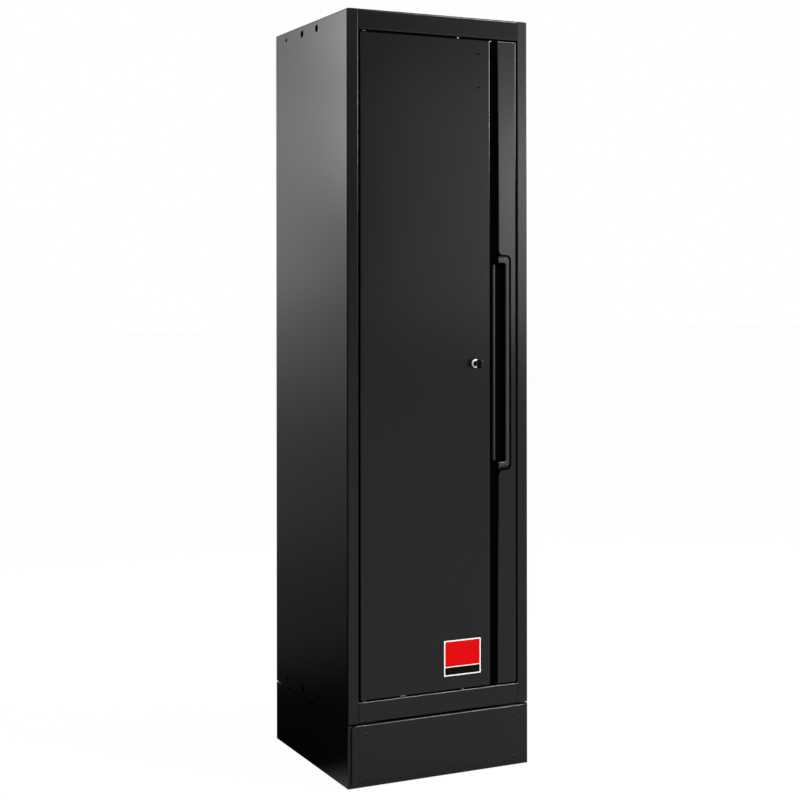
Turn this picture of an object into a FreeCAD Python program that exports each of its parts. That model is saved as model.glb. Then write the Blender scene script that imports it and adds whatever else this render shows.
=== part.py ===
import FreeCAD, Part
import os
from math import cos, pi, radians, sin, sqrt

# Full-height workshop side locker: a folded sheet-steel cabinet on a plinth, with one inset door
# that hangs on hidden pivot pins, a recessed pull in a full-height channel, a cam lock that drives
# two shooting rods, and four lift-out shelves on slotted uprights.
#
# Frame: millimetres, +Z up, X to the right and Y to the back as seen from the front.
# The origin is on the floor, at the centre of the cabinet's footprint.

# ---------------------------------------------------------------- cabinet
width = 530.0
depth = 506.0
height = 2000.0
sheet = 1.2                    # body and door sheet
bend = 3.0                     # outside radius of a folded edge
seat = 0.3                     # clearance where a piece is slid in and rests
body_bottom_rise = 4.0         # corner plates between the plinth and the body

stile_width = 30.5             # front face of each folded side
stile_depth = 30.0             # how far a stile is folded back beside the door
stile_lip = 14.0               # last fold of a stile, hidden inside it
stop_lip = 16.0                # how far the door stop shows past the lock stile
back_flange = 20.0
top_flange = 22.0
top_panel_inset = 3.5
top_round = 2.5                # outside corner along the top of each side
rail_depth = 34.0              # flange of a rail, above and below the door
rail_lip = 12.0
rail_foot = 18.0               # outer flange of a rail
top_rail_height = 53.0
bottom_rail_height = 53.0
tray_lip = 36.0                # feet of the floor tray

# side-by-side joining holes: one small and two large in a row, top and bottom
join_large_radius = 8.0
join_small_radius = 4.0
join_front = 205.0             # first large hole, from the front
join_pitch = 103.0             # between the two large holes
join_small_from_front = 425.0
join_from_top = 23.2
join_from_body_bottom = 22.8

# ---------------------------------------------------------------- plinth
plinth_height = 161.0
plinth_sheet = 1.5
plinth_flange = 40.0
window_margin = 70.0           # front opening, from each side
window_edge = 20.0             # front opening, from the floor and from the top
window_radius = 6.0
plate_sheet = 1.5
plate_depth = 7.0              # how far the cover stands out in front
plate_bend = 2.5
plate_inset = 8.3
plate_rise = 3.0
plate_drop = 0.5
plate_chamfer = 9.0
rivet_radius = 2.0
rivet_head_radius = 3.6
rivet_head_height = 1.9
rivet_tail_radius = 3.0
rivet_tail_length = 2.0
rivet_inset = 48.0
rivet_low = 25.0
rivet_high = 137.0
hole_clearance = 0.05          # round fits that don't turn
corner_plate_length = 82.0
corner_plate_width = 60.0
corner_plate_inset = 6.0
corner_plate_cut = 24.0
bolt_radius = 4.0
bolt_hole_radius = 4.5
bolt_head_flats = 13.0
bolt_head_height = 5.3
bolt_end = 4.0                 # thread that shows past the nut
nut_height = 6.5
bolt_from_side = 22.0
bolt_from_front = 54.0
bolt_from_back = 54.0

# ---------------------------------------------------------------- shelves
upright_width = 24.0
upright_depth = 10.0
upright_end = 14.0             # from the floor tray and from the top rail
upright_front = 75.0           # front upright, from the front
upright_back = 60.0            # back upright, from the back
slot_height = 14.0
slot_width = 5.0
slot_pitch = 50.0
slot_start = 26.0              # first slot, from the upright's foot
shelf_slots = (6, 13, 20, 27)  # which slot each shelf hangs in
shelf_lip = 28.0
shelf_return = 12.0
shelf_front = 46.0             # from the cabinet's front
shelf_side_clearance = 1.0
clip_sheet = 2.0
clip_width = 16.0
clip_ledge = 14.0
clip_drop = 20.0
clip_tongue = 4.0

# ---------------------------------------------------------------- door
hinge_gap = 5.5
lock_gap = 4.5
top_gap = 3.5
bottom_gap = 4.0
door_depth = 25.0
door_lip = 14.0
strip_width = 52.8             # at its narrowest, half-way up
channel_width = 26.6           # at its widest, half-way up
channel_depth = 20.0
channel_bow = 4.0              # how much the strip's free edge curves in
liner = 0.8
stiffener_from_left = 150.0
stiffener_crown = 44.0
stiffener_foot = 15.0
stiffener_depth = 17.0
stiffener_end = 26.0
badge_from_channel = 30.1
badge_rise = 258.5             # from the floor
badge_width = 109.3
badge_height = 93.6
badge_sheet = 0.8
badge_radius = 1.5
glide_radius = 2.4
glide_height = 1.6
glide_setback = 4.0
top_glide_from_left = 321.0
bottom_glide_from_left = 333.0
pad_from_left = 157.5
pad_length = 15.0
pad_width = 2.4
pad_radius = 0.8
buffer_radius = 4.5
buffer_from_edge = 6.5         # from the door's edge
buffer_inset = 160.0           # first and last buffer, from the rails

# ---------------------------------------------------------------- pull handle
grip_centre = 1082.0
grip_height = 562.0            # cut-out in the strip
grip_width = 36.8
grip_flare = 14.0              # where the cut-out runs out into the strip's edge
grip_corner = 13.0
grip_clearance = 1.3
grip_recess = 1.0              # rim behind the strip's face
rim_width = 13.0
pocket_radius = 6.0
rim_round = 2.6
pocket_floor = 4.0
bar_width = 10.0
bar_recess = 9.0
bar_left = 14.6                # from the channel's left wall
bar_end = 5.0                  # shorter than the pocket at each end
bar_round = 6.0
bar_edge_round = 1.5
screw_radius = 1.95
screw_depth = 2.6
screw_head_radius = 3.6
screw_head_height = 2.2
screw_rows = 4

# ---------------------------------------------------------------- hinges
hinge_inset = 12.0             # pin axis, from the door's left edge
hinge_setback = 7.0            # pin axis, behind the door's face
pin_radius = 3.0
pin_head_radius = 5.0
pin_head_height = 2.5
pin_reach = 12.0               # into the door
running_fit = 0.05
bush_wall = 1.9
bush_length = 9.0
bush_flange_radius = 5.9
bush_flange = 1.5
bracket_thickness = 2.5
bracket_length = 42.0
bracket_before_pin = 13.0

# ---------------------------------------------------------------- lock
lock_from_channel = 44.7
lock_height = 1081.0
bezel_radius = 11.6
bezel_height = 3.2
bezel_round = 1.8
housing_radius = 9.3
housing_end = 14.0
lock_nut_flats = 24.0
lock_nut_height = 4.0
plug_radius = 7.0
plug_front = 2.2
bezel_gap = 0.6                # between the plug and the ring
cam_gap = 1.0                  # between the housing and the cam
cam_sheet = 2.0
cam_width = 9.0
cam_pin_reach = 12.0
cam_pin_radius = 2.0
cam_pin_proud = 0.4            # past the rod
cam_rest_angle = -45.0
cam_screw_radius = 3.2
cam_screw_height = 2.0
key_play = 0.3                 # around the blade in its keyway
keyway_depth = 12.0
key_blade_height = 8.4
key_blade_width = 2.2
key_blade_end = 8.0            # blade's tip, behind the door's face
key_neck = 11.0                # bow's start, before the door's face
key_bow_length = 27.5
key_bow_height = 22.3
key_bow_width = 6.0
key_bow_radius = 4.5
key_bow_round = 1.4
key_hole_radius = 2.6
key_hole_from_tip = 6.5
bow_socket = 8.0               # blade held inside the bow

# ---------------------------------------------------------------- shooting rods
rod_offset = 10.0              # rod's line, beside the lock's axis
rod_width = 12.0
rod_sheet = 2.5
rod_gap = 0.5                  # between cam and rod
rod_foot = 6.0                 # past the slot's centre
rod_slot_play = 0.7
rod_slot_side_play = 0.1
rod_tip_rest = 3.0             # tip below the door's end when unlocked
rod_tip_round = 3.0
rod_play = 0.4                 # in its guides and holes
strike_play = 1.0
guide_centre = 83.5            # from the door's end
guide_spread = 89.3            # between the guide's two fixing slots
guide_width = 22.0
guide_base = 1.6
guide_block = 30.0
guide_wall = 2.2
guide_tab_width = 8.6
guide_tab_height = 3.2
guide_tab_recess = 0.5
guide_foot = 6.0

# ---------------------------------------------------------------- derived places
left, right = -width / 2, width / 2
front, back = -depth / 2, depth / 2
body_bottom = plinth_height + body_bottom_rise
body_top = height - sheet
top_rail_bottom = height - top_rail_height
bottom_rail_top = body_bottom + bottom_rail_height
stile_left, stile_right = left + stile_width, right - stile_width

plate_face = front - plate_depth

door_left = stile_left + hinge_gap
door_right = stile_right - lock_gap
door_top = top_rail_bottom - top_gap
door_bottom = bottom_rail_top + bottom_gap
door_back = front + door_depth
door_middle = (door_top + door_bottom) / 2
strip_left = door_right - strip_width
panel_right = strip_left - channel_width
channel_floor = front + channel_depth

hinge_x = door_left + hinge_inset
hinge_y = front + hinge_setback
lock_x = panel_right - lock_from_channel
rod_x = {+1: lock_x + rod_offset, -1: lock_x - rod_offset}
cam_start = housing_end + cam_gap
rod_front = front + cam_start + cam_sheet + rod_gap
rod_back = rod_front + rod_sheet
cam_swing = cam_pin_reach * sin(radians(abs(cam_rest_angle)))
cam_near = cam_pin_reach * cos(radians(abs(cam_rest_angle)))
cam_pin_length = rod_gap + rod_sheet + cam_pin_proud
rod_slot_half = cam_pin_radius + max(cam_pin_reach - rod_offset, rod_offset - cam_near) + rod_slot_side_play
keyway_width, keyway_height = key_blade_width + 2 * key_play, key_blade_height + 2 * key_play

EPS = 1.0                      # how far a cutting tool runs past a face
hexagon_sides = 6
NEAR = 0.01                    # how close an edge lies to the face it is chosen by
SAME_POINT = 1e-6


# ---------------------------------------------------------------- helpers
def vector(x, y, z):
    return FreeCAD.Vector(x, y, z)


def block(x, y, z):
    """Box between three (low, high) pairs."""
    return Part.makeBox(x[1] - x[0], y[1] - y[0], z[1] - z[0], vector(x[0], y[0], z[0]))


def cylinder(radius, start, end):
    """Round bar from one point to another."""
    axis = vector(*end) - vector(*start)
    return Part.makeCylinder(radius, axis.Length, vector(*start), axis)


def fuse(*shapes):
    return shapes[0].multiFuse(list(shapes[1:])).removeSplitter()


def cut(shape, *tools):
    return shape.cut(Part.makeCompound(list(tools)))


def on_plane(plane, u, v, w=0.0):
    """Point with coordinates u, v on the plane across the named axis, at w along it."""
    return {"x": vector(w, u, v), "y": vector(u, w, v), "z": vector(u, v, w)}[plane]


def rounded_edges(points, plane):
    """Lines and tangent arcs of a closed outline of (u, v, radius) corners."""
    edges, ends = [], []
    count = len(points)
    for i, (u, v, radius) in enumerate(points):
        corner = vector(u, v, 0)
        before = vector(*points[i - 1][:2], 0) - corner
        after = vector(*points[(i + 1) % count][:2], 0) - corner
        if radius <= 0:
            ends.append((corner, None, corner))
            continue
        half = before.getAngle(after) / 2
        before.normalize()
        after.normalize()
        middle = before + after
        middle.normalize()
        reach = radius * cos(half) / sin(half)
        centre = corner + middle * (radius / sin(half))
        ends.append((corner + before * reach, centre - middle * radius, corner + after * reach))
    for i, (start, through, end) in enumerate(ends):
        if through is not None:
            arc = [on_plane(plane, p.x, p.y) for p in (start, through, end)]
            edges.append(Part.Arc(*arc).toShape())
        following = ends[(i + 1) % count][0]
        if (following - end).Length > SAME_POINT:
            line = [on_plane(plane, p.x, p.y) for p in (end, following)]
            edges.append(Part.LineSegment(*line).toShape())
    return edges


def prism(points, plane, low, high):
    """Solid of a closed (u, v, radius) outline, from low to high along the plane's axis."""
    face = Part.Face(Part.Wire(Part.__sortEdges__(rounded_edges(points, plane))))
    face.translate(on_plane(plane, 0, 0, low))
    return face.extrude(on_plane(plane, 0, 0, high - low))


def rectangle(u, v, radius=0.0):
    """Corners of a rectangle between two (low, high) pairs, all rounded alike."""
    return [(u[0], v[0], radius), (u[1], v[0], radius), (u[1], v[1], radius), (u[0], v[1], radius)]


def folded(path, thickness, outside):
    """Outline of a sheet folded along a path; the sheet lies on the path's left-hand side."""
    points = [vector(u, v, 0) for u, v in path]
    steps = [(b - a).normalize() for a, b in zip(points, points[1:])]
    normals = [vector(-s.y, s.x, 0) for s in steps]
    near = [(points[0].x, points[0].y, 0)]
    first, last = points[0] + normals[0] * thickness, points[-1] + normals[-1] * thickness
    far = [(first.x, first.y, 0)]
    for i in range(1, len(points) - 1):
        turn = steps[i - 1].cross(steps[i]).z
        shift = (normals[i - 1] + normals[i]) * thickness
        inner = points[i] + shift
        near.append((points[i].x, points[i].y, outside if turn > 0 else outside - thickness))
        far.append((inner.x, inner.y, outside - thickness if turn > 0 else outside))
    near.append((points[-1].x, points[-1].y, 0))
    far.append((last.x, last.y, 0))
    return near + far[::-1]


def round_edges(shape, radius, chosen):
    """Fillet the edges whose bounding box passes a test."""
    return shape.makeFillet(radius, [e for e in shape.Edges if chosen(e.BoundBox)])


def hexagon(u, v, flats):
    """Outline of a hexagon, measured across its flats."""
    corner = flats / 2 / cos(pi / hexagon_sides)
    turns = [2 * pi * k / hexagon_sides for k in range(hexagon_sides)]
    return [(u + corner * cos(a), v + corner * sin(a), 0) for a in turns]


def mirror_x(shape):
    return shape.mirror(vector(0, 0, 0), vector(1, 0, 0))


parts = {}


# ---------------------------------------------------------------- folded sides
def join_tools():
    """Cutting pins for the joining holes of the left-hand side."""
    holes = [(join_front, join_large_radius), (join_front + join_pitch, join_large_radius),
             (join_small_from_front, join_small_radius)]
    levels = (height - join_from_top, body_bottom + join_from_body_bottom)
    reach = (left - EPS, left + 2 * sheet + EPS)
    return [cylinder(radius, (reach[0], front + y, z), (reach[1], front + y, z))
            for y, radius in holes for z in levels]


def side_panel():
    """Side wall with its stile, back flange and top flange, as the left-hand piece."""
    path = [(left + back_flange, back), (left, back), (left, front), (stile_left, front),
            (stile_left, front + stile_depth), (stile_left - stile_lip, front + stile_depth)]
    wall = prism(folded(path, sheet, bend), "z", body_bottom, body_top)
    flange = block((left + sheet / 2, left + top_flange), (front + bend, back - bend),
                   (body_top - sheet, body_top))
    corner = block((left - EPS, left + top_round), (front - EPS, back + EPS),
                   (body_top - top_round, body_top + EPS))
    core = (left + top_round, body_top - top_round)
    rounding = corner.cut(cylinder(top_round, (core[0], front - EPS, core[1]),
                                   (core[0], back + EPS, core[1])))
    return cut(fuse(wall, flange), rounding, *join_tools())


parts["left_side_panel"] = side_panel()
parts["right_side_panel"] = mirror_x(parts["left_side_panel"])
parts["door_stop"] = block((stile_right - stop_lip, stile_right + stile_lip),
                           (front + stile_depth, front + stile_depth + sheet),
                           (bottom_rail_top + seat, top_rail_bottom - seat))

# ---------------------------------------------------------------- back, top, floor and rails
parts["back_panel"] = block((left + bend, right - bend), (back - 2 * sheet, back - sheet),
                            (body_bottom, body_top - sheet))
parts["top_panel"] = prism(rectangle((left + top_panel_inset, right - top_panel_inset),
                                     (front + top_panel_inset, back - top_panel_inset), bend),
                           "z", body_top, height)


def floor_tray():
    """Cabinet floor: a tray turned over, standing on two inward feet."""
    inside_left, inside_right = left + sheet, right - sheet
    floor = bottom_rail_top - sheet
    path = [(inside_right - tray_lip, body_bottom), (inside_right, body_bottom),
            (inside_right, floor), (inside_left, floor),
            (inside_left, body_bottom), (inside_left + tray_lip, body_bottom)]
    tray = prism(folded(path, sheet, 2 * sheet), "y", front + rail_depth, back - bend)
    pins = join_tools()
    return cut(tray, *pins, *[mirror_x(pin) for pin in pins], *bolt_tools())


def bolt_places():
    """Centres of the four bolts that hold the body to the plinth."""
    return [(side * (right - bolt_from_side), y) for side in (-1, 1)
            for y in (front + bolt_from_front, back - bolt_from_back)]


def bolt_tools():
    low, high = plinth_height - plinth_sheet - EPS, body_bottom + sheet + EPS
    return [cylinder(bolt_hole_radius, (x, y, low), (x, y, high)) for x, y in bolt_places()]


parts["bottom_panel"] = floor_tray()


def strike_tool(side, low, high):
    """Slot in a rail for a shooting rod; side is +1 for the upper rod and -1 for the lower."""
    half = rod_width / 2 + strike_play
    return block((rod_x[side] - half, rod_x[side] + half),
                 (rod_front - strike_play, rod_back + strike_play), (low, high))


def pin_tool(low, high):
    return cylinder(pin_radius + hole_clearance, (hinge_x, hinge_y, low), (hinge_x, hinge_y, high))


def rail(path, side, low, high):
    """Rail between the stiles, pierced for the hinge pin and the shooting rod."""
    span = (stile_left + seat, stile_right - seat)
    return cut(prism(folded(path, sheet, bend), "x", *span),
               pin_tool(low, high), strike_tool(side, low, high))


parts["top_rail"] = rail(
    [(front + rail_foot, body_top), (front, body_top), (front, top_rail_bottom),
     (front + rail_depth, top_rail_bottom), (front + rail_depth, top_rail_bottom + rail_lip)],
    +1, top_rail_bottom - EPS, top_rail_bottom + sheet + EPS)
parts["bottom_rail"] = rail(
    [(front + rail_depth, bottom_rail_top - rail_lip), (front + rail_depth, bottom_rail_top),
     (front, bottom_rail_top), (front, body_bottom), (front + rail_foot, body_bottom)],
    -1, bottom_rail_top - sheet - EPS, bottom_rail_top + EPS)


# ---------------------------------------------------------------- plinth
def rivet_places():
    return [(side * (right - rivet_inset), z) for side in (-1, 1) for z in (rivet_low, rivet_high)]


def rivet_tools():
    return [cylinder(rivet_radius + hole_clearance, (x, plate_face - EPS, z),
                     (x, front + plinth_sheet + EPS, z)) for x, z in rivet_places()]


def plinth_frame():
    """Welded ring of sheet with flanges at the floor and under the body."""
    shell = prism(rectangle((left, right), (front, back), bend), "z", 0, plinth_height)
    inner = prism(rectangle((left + plinth_sheet, right - plinth_sheet),
                            (front + plinth_sheet, back - plinth_sheet), bend - plinth_sheet),
                  "z", plinth_sheet, plinth_height - plinth_sheet)
    well = prism(rectangle((left + plinth_flange, right - plinth_flange),
                           (front + plinth_flange, back - plinth_flange), bend),
                 "z", -EPS, plinth_height + EPS)
    window = prism(rectangle((left + window_margin, right - window_margin),
                             (window_edge, plinth_height - window_edge), window_radius),
                   "y", front - EPS, front + plinth_sheet + EPS)
    return cut(shell, inner, well, window, *rivet_tools(), *bolt_tools())


def plate_outline(margin):
    """Rectangle with cut-off corners, drawn in by a margin on every side."""
    x = right - plate_inset - margin
    low, high = plate_rise + margin, plinth_height - plate_drop - margin
    c = plate_chamfer - (2 - sqrt(2)) * margin
    return [(-x, low + c, 0), (-x + c, low, 0), (x - c, low, 0), (x, low + c, 0),
            (x, high - c, 0), (x - c, high, 0), (-x + c, high, 0), (-x, high - c, 0)]


def front_plate():
    """Plinth cover, folded back all round like a lid, with its open side on the frame."""
    lid = round_edges(prism(plate_outline(0), "y", plate_face, front), plate_bend,
                      lambda box: box.YMax < plate_face + NEAR)
    hollow = prism(plate_outline(plate_sheet), "y", plate_face + plate_sheet, front + EPS)
    return cut(lid, hollow, *rivet_tools())


def rivet(x, z):
    """Domed blind rivet through the front plate and the frame."""
    tip = plate_face - rivet_head_height
    ball = (rivet_head_radius ** 2 + rivet_head_height ** 2) / (2 * rivet_head_height)
    dome = Part.makeSphere(ball, vector(x, tip + ball, z)).common(
        block((x - ball, x + ball), (tip - EPS, plate_face), (z - ball, z + ball)))
    shank = cylinder(rivet_radius, (x, plate_face, z), (x, front + plinth_sheet, z))
    tail = cylinder(rivet_tail_radius, (x, front + plinth_sheet, z),
                    (x, front + plinth_sheet + rivet_tail_length, z))
    return fuse(dome, shank, tail)


def corner_plates():
    """Cut-cornered plates that carry the body, one near each corner of the plinth."""
    x0, y0 = left + corner_plate_inset, front + corner_plate_inset
    x1, y1, c = x0 + corner_plate_length, y0 + corner_plate_width, corner_plate_cut
    outline = [(x0, y0 + c, 0), (x0 + c, y0, 0), (x1, y0, 0),
               (x1, y1 - c, 0), (x1 - c, y1, 0), (x0, y1, 0)]
    plate = prism(outline, "z", plinth_height, body_bottom)
    rear = plate.mirror(vector(0, 0, 0), vector(0, 1, 0))
    pairs = [plate, rear, mirror_x(plate), mirror_x(rear)]
    return [cut(piece, *bolt_tools()) for piece in pairs]


def plinth_bolt(x, y):
    """Hexagon bolt up through the plinth's flange, the corner plate and the tray's foot."""
    under = plinth_height - plinth_sheet
    end = body_bottom + sheet + nut_height + bolt_end
    return fuse(prism(hexagon(x, y, bolt_head_flats), "z", under - bolt_head_height, under),
                cylinder(bolt_radius, (x, y, under), (x, y, end)))


def plinth_nut(x, y):
    low = body_bottom + sheet
    bore = cylinder(bolt_radius + hole_clearance, (x, y, low - EPS), (x, y, low + nut_height + EPS))
    return cut(prism(hexagon(x, y, bolt_head_flats), "z", low, low + nut_height), bore)


parts["plinth_frame"] = plinth_frame()
parts["plinth_front_plate"] = front_plate()
parts["plinth_rivets"] = [rivet(x, z) for x, z in rivet_places()]
parts["plinth_corner_plates"] = corner_plates()
parts["plinth_bolts"] = [plinth_bolt(x, y) for x, y in bolt_places()]
parts["plinth_nuts"] = [plinth_nut(x, y) for x, y in bolt_places()]

# ---------------------------------------------------------------- uprights and shelves
upright_foot = bottom_rail_top + upright_end
upright_head = top_rail_bottom - upright_end
upright_face = left + sheet + upright_depth
upright_places = {"front": front + upright_front, "back": back - upright_back}
slot_levels = [upright_foot + slot_start + slot_pitch * k for k in range(
    int((upright_head - upright_foot - slot_start - slot_height) // slot_pitch) + 1)]
shelf_tops = [slot_levels[k] + clip_sheet / 2 + sheet for k in shelf_slots]


def upright(y):
    """Slotted channel on the left-hand wall."""
    low, high, wall = y - upright_width / 2, y + upright_width / 2, left + sheet
    path = [(wall, low), (upright_face, low), (upright_face, high), (wall, high)]
    channel = prism(folded(path, sheet, 2 * sheet), "z", upright_foot, upright_head)
    slots = [block((upright_face - sheet - EPS, upright_face + EPS),
                   (y - slot_width / 2, y + slot_width / 2),
                   (z - slot_height / 2, z + slot_height / 2)) for z in slot_levels]
    return cut(channel, *slots)


def shelf(top):
    """Shelf with its front and back edges folded down and in."""
    near, far, low = front + shelf_front, back - 2 * sheet - shelf_side_clearance, top - shelf_lip
    reach = width / 2 - sheet - upright_depth - clip_sheet - shelf_side_clearance
    path = [(far - shelf_return, low), (far, low), (far, top), (near, top),
            (near, low), (near + shelf_return, low)]
    return prism(folded(path, sheet, 2 * sheet), "x", -reach, reach)


def shelf_clip(y, top):
    """Clip hooked into a slot of a left-hand upright, with a ledge under the shelf."""
    under = top - sheet
    span = (y - clip_width / 2, y + clip_width / 2)
    leg = block((upright_face, upright_face + clip_sheet), span, (under - clip_drop, under))
    ledge = block((upright_face, upright_face + clip_ledge), span, (under - clip_sheet, under))
    tongue = block((upright_face - clip_tongue, upright_face),
                   (y - slot_width / 2 + seat, y + slot_width / 2 - seat),
                   (under - clip_sheet, under))
    return fuse(leg, ledge, tongue)


for place, y in upright_places.items():
    parts[f"upright_{place}_left"] = upright(y)
    parts[f"upright_{place}_right"] = mirror_x(parts[f"upright_{place}_left"])
for number, top in enumerate(shelf_tops, 1):
    parts[f"shelf_{number}"] = shelf(top)
left_clips = [shelf_clip(y, top) for top in shelf_tops for y in upright_places.values()]
parts["shelf_clips"] = left_clips + [mirror_x(clip) for clip in left_clips]


# ---------------------------------------------------------------- door panel and strip
def strip_edge(inset):
    """X of the strip's free edge: half-way up the door, and at its ends, moved by an inset."""
    return strip_left + inset, strip_left + inset - channel_bow


def strip_block(inset, low, high, near, far, stop):
    """Upright slab whose left side follows the strip's curved edge."""
    middle, end = strip_edge(inset)
    top, bottom = vector(end, near, high), vector(end, near, low)
    curve = Part.Arc(bottom, vector(middle, near, (low + high) / 2), top).toShape()
    lines = [Part.LineSegment(a, b).toShape() for a, b in (
        (top, vector(stop, near, high)), (vector(stop, near, high), vector(stop, near, low)),
        (vector(stop, near, low), bottom))]
    face = Part.Face(Part.Wire([curve] + lines))
    return face.extrude(vector(0, far - near, 0))


def guide_levels(side):
    """Levels of a rod guide's two fixing slots."""
    end = door_top if side > 0 else door_bottom
    centre = end - side * guide_centre
    return centre - guide_spread / 2, centre + guide_spread / 2


def tab_tools(play):
    """Fixing slots of the rod guides, or with negative play the tabs that fill them."""
    tools = []
    for side in (+1, -1):
        for z in guide_levels(side):
            x, w, h = rod_x[side], guide_tab_width / 2 + play, guide_tab_height / 2 + play
            tools.append(((x - w, x + w), (z - h, z + h)))
    return tools


def rod_tool(side, play, low, high):
    """Passage for a shooting rod."""
    half = rod_width / 2 + play
    return block((rod_x[side] - half, rod_x[side] + half), (rod_front - play, rod_back + play),
                 (low, high))


def door_panel():
    """Main skin: front, folded edges and the channel's left wall."""
    x, z = (door_left, panel_right), (door_bottom, door_top)
    skin = block(x, (front, door_back), z)
    skin = round_edges(skin, bend, lambda b: b.YMax < front + NEAR)
    hollow = block((x[0] + sheet, x[1] - sheet), (front + sheet, door_back + EPS),
                   (z[0] + sheet, z[1] - sheet))
    hollow = round_edges(hollow, bend - sheet, lambda b: b.YMax < front + sheet + NEAR)
    spare = block((x[1] - sheet - seat, x[1] + EPS), (channel_floor, door_back + EPS),
                  (z[0] - EPS, z[1] + EPS))
    lips = cut(block((x[0] + sheet / 2, x[1] - sheet), (door_back - sheet, door_back),
                     (z[0] + sheet / 2, z[1] - sheet / 2)),
               block((x[0] + door_lip, x[1]), (door_back - sheet - EPS, door_back + EPS),
                     (z[0] + door_lip, z[1] - door_lip)))
    panel = cut(fuse(cut(skin, hollow), lips), spare)
    tools = [cylinder(housing_radius + seat, (lock_x, front - EPS, lock_height),
                      (lock_x, front + sheet + EPS, lock_height))]
    bush = pin_radius + running_fit + bush_wall + hole_clearance
    tools.append(cylinder(bush, (hinge_x, hinge_y, door_bottom - EPS),
                          (hinge_x, hinge_y, door_bottom + sheet + EPS)))
    tools.append(cylinder(bush, (hinge_x, hinge_y, door_top - sheet - EPS),
                          (hinge_x, hinge_y, door_top + EPS)))
    tools.append(rod_tool(+1, rod_play, door_top - sheet - EPS, door_top + EPS))
    tools.append(rod_tool(-1, rod_play, door_bottom - EPS, door_bottom + sheet + EPS))
    tools += [block(x, (front - EPS, front + sheet + EPS), z) for x, z in tab_tools(0.0)]
    return cut(panel, *tools)


def channel_back():
    """Flat sheet behind the channel and the strip, welded to both."""
    back_sheet = block((panel_right - sheet, door_right - sheet),
                       (channel_floor, channel_floor + sheet), (door_bottom, door_top))
    return cut(back_sheet, *[cylinder(screw_radius + hole_clearance, (x, channel_floor - EPS, z),
                                      (x, channel_floor + sheet + EPS, z)) for x, z in screw_places()])


def grip_outline(inset, edge_left):
    """Outline of the handle's cut-out, shrunk by an inset and open towards the channel."""
    low = grip_centre - grip_height / 2 + inset
    high = grip_centre + grip_height / 2 - inset
    stop = strip_left + grip_width - inset
    edge, run = strip_left - inset, grip_flare + inset
    past = run + EPS
    return [(edge_left, low - past, 0), (edge, low - past, 0), (edge, low, run),
            (stop, low, grip_corner - inset), (stop, high, grip_corner - inset),
            (edge, high, run), (edge, high + past, 0), (edge_left, high + past, 0)]


def door_strip():
    """Closed-ended channel beside the lock stile, its free edge bowed, cut out for the pull."""
    z = (door_bottom, door_top)
    body = strip_block(0, *z, front, channel_floor, door_right)
    body = round_edges(body, bend - sheet / 2, lambda b: b.YMax < front + NEAR)
    inside = strip_block(sheet, z[0] + sheet, z[1] - sheet, front + sheet, door_back + EPS,
                         door_right - sheet)
    wall = block((door_right - sheet, door_right), (channel_floor - EPS, door_back), z)
    lip = block((door_right - door_lip, door_right - sheet / 2), (door_back - sheet, door_back), z)
    shell = fuse(cut(body, inside), wall, lip)
    opening = prism(grip_outline(0, strip_left - channel_width), "y", front - EPS, door_back)
    keep = block((door_right - sheet, door_right + EPS), (front - EPS, door_back + EPS), z)
    return cut(shell, opening.cut(keep))


def channel_liner():
    """Matt plastic lining of the channel, above and below the pull."""
    low, high = door_bottom + seat, door_top - seat
    near, far = front + bend, channel_floor
    outer = strip_block(-hole_clearance, low, high, near, far, door_right)
    middle = strip_left + EPS
    slab = block((panel_right + hole_clearance, middle), (near, far), (low, high))
    solid = slab.cut(outer)
    hollow = block((panel_right + hole_clearance + liner, middle), (near - EPS, far - liner),
                   (low - EPS, high + EPS))
    inner = strip_block(-hole_clearance - liner, low - EPS, high + EPS, near - EPS, far, door_right)
    lining = cut(solid, hollow.cut(inner))
    half = grip_height / 2 + grip_flare
    gap = block((panel_right - EPS, middle + EPS), (near - EPS, far + EPS),
                (grip_centre - half, grip_centre + half))
    return lining.cut(gap).Solids


def door_stiffener():
    """Hat-shaped post on the back of the main panel."""
    x0 = door_left + stiffener_from_left
    x1, skin = x0 + stiffener_crown, front + sheet
    path = [(x1 + stiffener_foot, skin), (x1, skin), (x1, skin + stiffener_depth),
            (x0, skin + stiffener_depth), (x0, skin), (x0 - stiffener_foot, skin)]
    outline = folded([(u, v) for u, v in path[::-1]], sheet, 2 * sheet)
    return prism(outline, "z", door_bottom + stiffener_end, door_top - stiffener_end)


# ---------------------------------------------------------------- pull handle
def screw_places():
    """Centres of the screws that hold the handle, in two columns."""
    half = grip_height / 2 - grip_corner - rim_width
    step = 2 * half / (screw_rows - 1)
    x = strip_left + grip_width - rim_width / 2
    bar_x = panel_right + bar_left + bar_width / 2
    rows = [grip_centre - half + step * k for k in range(screw_rows)]
    return [(x, z) for z in rows] + [(bar_x, z) for z in rows[1:-1]]


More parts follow.
